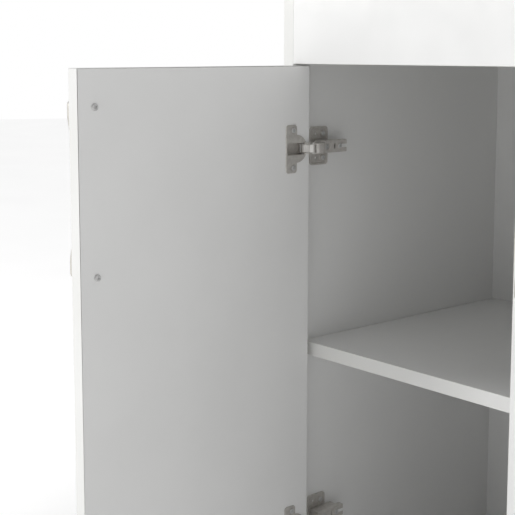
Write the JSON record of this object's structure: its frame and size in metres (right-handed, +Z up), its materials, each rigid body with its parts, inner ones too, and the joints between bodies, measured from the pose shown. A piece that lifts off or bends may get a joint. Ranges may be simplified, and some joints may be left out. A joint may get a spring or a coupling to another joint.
{
  "type": "bathroom vanity cabinet",
  "caption": "White floor-standing bathroom vanity cabinet with inset doors on concealed hinges, a shelf, a front rail and a ceramic basin top.",
  "frame": {"origin": "on the floor under the middle of the carcass, at the bottom face of the centre foot", "axes": "+Z up, the front and the doors face -Y, +X to the right seen from the front"},
  "size_m": [0.7605, 0.7783, 0.865],
  "materials": {
    "white_board": "satin white melamine faced board",
    "nickel": "nickel plated pressed steel",
    "satin_nickel": "satin nickel plated zinc casting",
    "zinc": "zinc plated steel",
    "beech": "plain fluted beech",
    "black_plastic": "moulded",
    "ceramic": "glazed white ceramic"
  },
  "bodies": {
    "cabinet": {"left_side": "white_board", "right_side": "white_board", "bottom_panel": "white_board", "back_panel": "white_board", "front_rail": "white_board", "rear_rail": "white_board", "shelf": "white_board", "shelf_pins": "nickel", "dowels": "beech", "cam_bolts": "zinc", "cam_discs": "zinc", "feet": "black_plastic", "foot_studs": "zinc", "basin_top": "ceramic", "left_upper_arm": "nickel", "left_upper_plate": "nickel", "left_lower_arm": "nickel", "left_lower_plate": "nickel", "right_upper_arm": "nickel", "right_upper_plate": "nickel", "right_lower_arm": "nickel", "right_lower_plate": "nickel", "hinge_pins": "zinc", "arm_screws": "zinc", "plate_screws": "zinc"},
    "left_door": {"left_door": "white_board", "left_handle": "satin_nickel", "left_handle_screws": "zinc", "left_upper_cup": "nickel", "left_lower_cup": "nickel", "left_cup_screws": "zinc", "left_cup_pins": "zinc"},
    "left_outer_levers": {"left_upper_outer_lever": "nickel", "left_lower_outer_lever": "nickel"},
    "left_inner_levers": {"left_upper_inner_lever": "nickel", "left_lower_inner_lever": "nickel"},
    "right_door": {"right_door": "white_board", "right_handle": "satin_nickel", "right_handle_screws": "zinc", "right_upper_cup": "nickel", "right_lower_cup": "nickel", "right_cup_screws": "zinc", "right_cup_pins": "zinc"},
    "right_outer_levers": {"right_upper_outer_lever": "nickel", "right_lower_outer_lever": "nickel"},
    "right_inner_levers": {"right_upper_inner_lever": "nickel", "right_lower_inner_lever": "nickel"}
  },
  "joints": [
    {"name": "left_door_hinge", "type": "hinge", "parent": "cabinet", "child": "left_door", "pos_m": [-0.3444, -0.2149, 0.394], "axis": [0, 0, 1], "range_deg": [-5, 90]},
    {"name": "left_outer_lever_pivot", "type": "hinge", "parent": "cabinet", "child": "left_outer_levers", "pos_m": [-0.322, -0.2111, 0.394], "axis": [0, 0, 1], "range_deg": [-33.5, 2.5]},
    {"name": "left_inner_lever_pivot", "type": "hinge", "parent": "cabinet", "child": "left_inner_levers", "pos_m": [-0.3253, -0.207, 0.394], "axis": [0, 0, 1], "range_deg": [-57.5, 4]},
    {"name": "right_door_hinge", "type": "hinge", "parent": "cabinet", "child": "right_door", "pos_m": [0.3444, -0.2149, 0.394], "axis": [0, 0, 1], "range_deg": [0, 95]},
    {"name": "right_outer_lever_pivot", "type": "hinge", "parent": "cabinet", "child": "right_outer_levers", "pos_m": [0.322, -0.2111, 0.394], "axis": [0, 0, 1], "range_deg": [-35.5, 1]},
    {"name": "right_inner_lever_pivot", "type": "hinge", "parent": "cabinet", "child": "right_inner_levers", "pos_m": [0.3253, -0.207, 0.394], "axis": [0, 0, 1], "range_deg": [-60.5, 1]}
  ],
  "couplings": [
    {"joint": "left_outer_lever_pivot", "follows": "left_door_hinge", "ratio": -0.36056},
    {"joint": "left_inner_lever_pivot", "follows": "left_door_hinge", "ratio": -0.62456},
    {"joint": "right_outer_lever_pivot", "follows": "right_door_hinge", "ratio": -0.36056},
    {"joint": "right_inner_lever_pivot", "follows": "right_door_hinge", "ratio": -0.62456}
  ]
}
